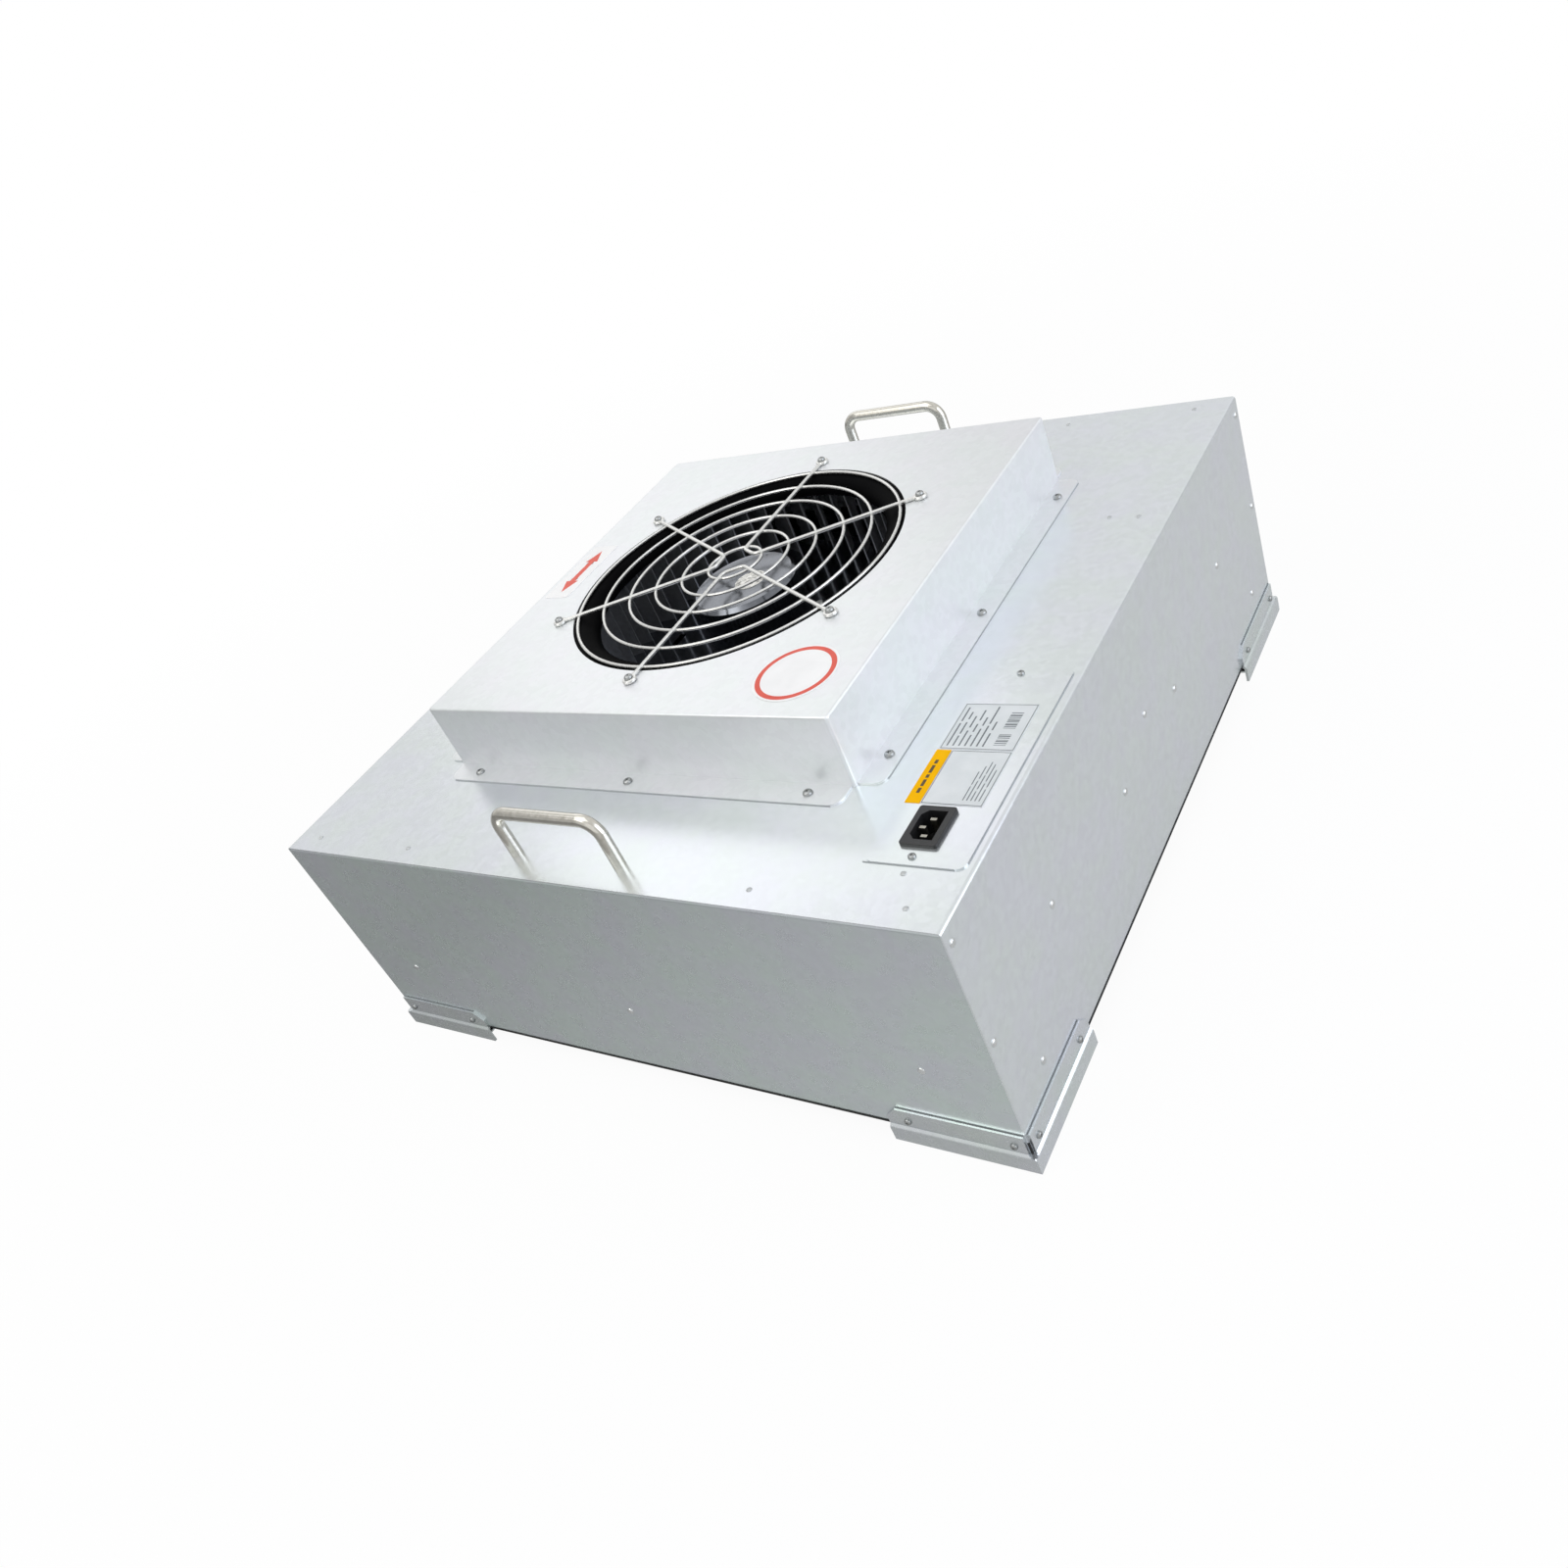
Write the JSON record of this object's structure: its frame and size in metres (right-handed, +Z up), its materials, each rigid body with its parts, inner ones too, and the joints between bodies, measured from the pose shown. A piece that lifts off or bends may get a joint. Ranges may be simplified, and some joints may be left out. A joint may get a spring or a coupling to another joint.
{
  "type": "fan filter unit",
  "caption": "Square galvanised ceiling fan filter unit: folded case, corner brackets, raised inlet collar with wire guard over a black impeller, carry handles, power inlet.",
  "frame": {"origin": "middle of the footprint, on the plane that the four corner brackets stand on", "axes": "+Z up along the fan's axis, out of the air inlet; +X along the front face towards the service panel; -Y out of the front face"},
  "size_m": [0.5838, 0.5838, 0.2624],
  "materials": {
    "galvanised_sheet": "fine-spangle galvanised sheet",
    "collar_sheet": "bright fine-spangle galvanised sheet",
    "bracket_sheet": "galvanised sheet",
    "zinc_screw": "zinc plated",
    "gasket_rubber": "closed-cell rubber",
    "filter_aluminium": "extruded aluminium",
    "filter_paper": "glass-fibre paper",
    "hot_melt_bead": "hot-melt",
    "cast_aluminium": "die-cast",
    "bearing_steel": "ground steel",
    "electrical_steel": "stacked laminations",
    "enamelled_copper": "enamelled winding",
    "capacitor_case": "moulded",
    "black_sheet": "black coated sheet",
    "guard_wire": "bright plated wire",
    "black_nylon": "moulded nylon",
    "plated_brass": "nickel-plated brass",
    "stainless_tube": "polished stainless tube",
    "label_film": "printed film",
    "red_ink": "printed",
    "amber_ink": "printed",
    "motor_steel": "black coated steel",
    "impeller_black": "gloss black coated",
    "silver_label": "brushed foil"
  },
  "bodies": {
    "unit": {"case_wrap": "galvanised_sheet", "front_panel": "galvanised_sheet", "back_panel": "galvanised_sheet", "case_rivets": "zinc_screw", "bracket_front_right": "bracket_sheet", "bracket_front_left": "bracket_sheet", "bracket_back_right": "bracket_sheet", "bracket_back_left": "bracket_sheet", "bracket_screws": "zinc_screw", "seat_rail_front": "galvanised_sheet", "seat_rail_back": "galvanised_sheet", "seat_rail_left": "galvanised_sheet", "seat_rail_right": "galvanised_sheet", "filter_gasket": "gasket_rubber", "filter_frame": "filter_aluminium", "filter_media": "filter_paper", "filter_beads": "hot_melt_bead", "base_gasket": "gasket_rubber", "fan_bridge": "galvanised_sheet", "side_rail_left": "galvanised_sheet", "side_rail_right": "galvanised_sheet", "diffuser_front": "galvanised_sheet", "diffuser_back": "galvanised_sheet", "stator_base": "cast_aluminium", "stator_screws": "zinc_screw", "bearing_lower": "bearing_steel", "bearing_upper": "bearing_steel", "stator_core": "electrical_steel", "stator_windings": "enamelled_copper", "run_capacitor": "capacitor_case", "capacitor_clip": "galvanised_sheet", "inlet_collar": "collar_sheet", "collar_screws": "zinc_screw", "inlet_ring": "black_sheet", "finger_guard": "guard_wire", "guard_screws": "zinc_screw", "service_panel": "galvanised_sheet", "panel_screws": "zinc_screw", "power_inlet": "black_nylon", "inlet_pins": "plated_brass", "handle_front": "stainless_tube", "handle_back": "stainless_tube", "handle_screws": "zinc_screw", "ring_sticker": "label_film", "ring_mark": "red_ink", "arrow_sticker": "label_film", "arrow_mark": "red_ink", "rating_label": "label_film", "band_label": "amber_ink", "field_label": "label_film"},
    "rotor": {"rotor_can": "motor_steel", "motor_shaft": "bearing_steel", "shaft_clip": "zinc_screw", "impeller_plate": "impeller_black", "impeller_blades": "impeller_black", "impeller_ring": "impeller_black", "impeller_screws": "zinc_screw", "rotor_label": "silver_label"}
  },
  "joints": [
    {"name": "impeller_spin", "type": "hinge", "parent": "unit", "child": "rotor", "pos_m": [0, 0, 0.2], "axis": [0, 0, 1], "continuous": true}
  ]
}
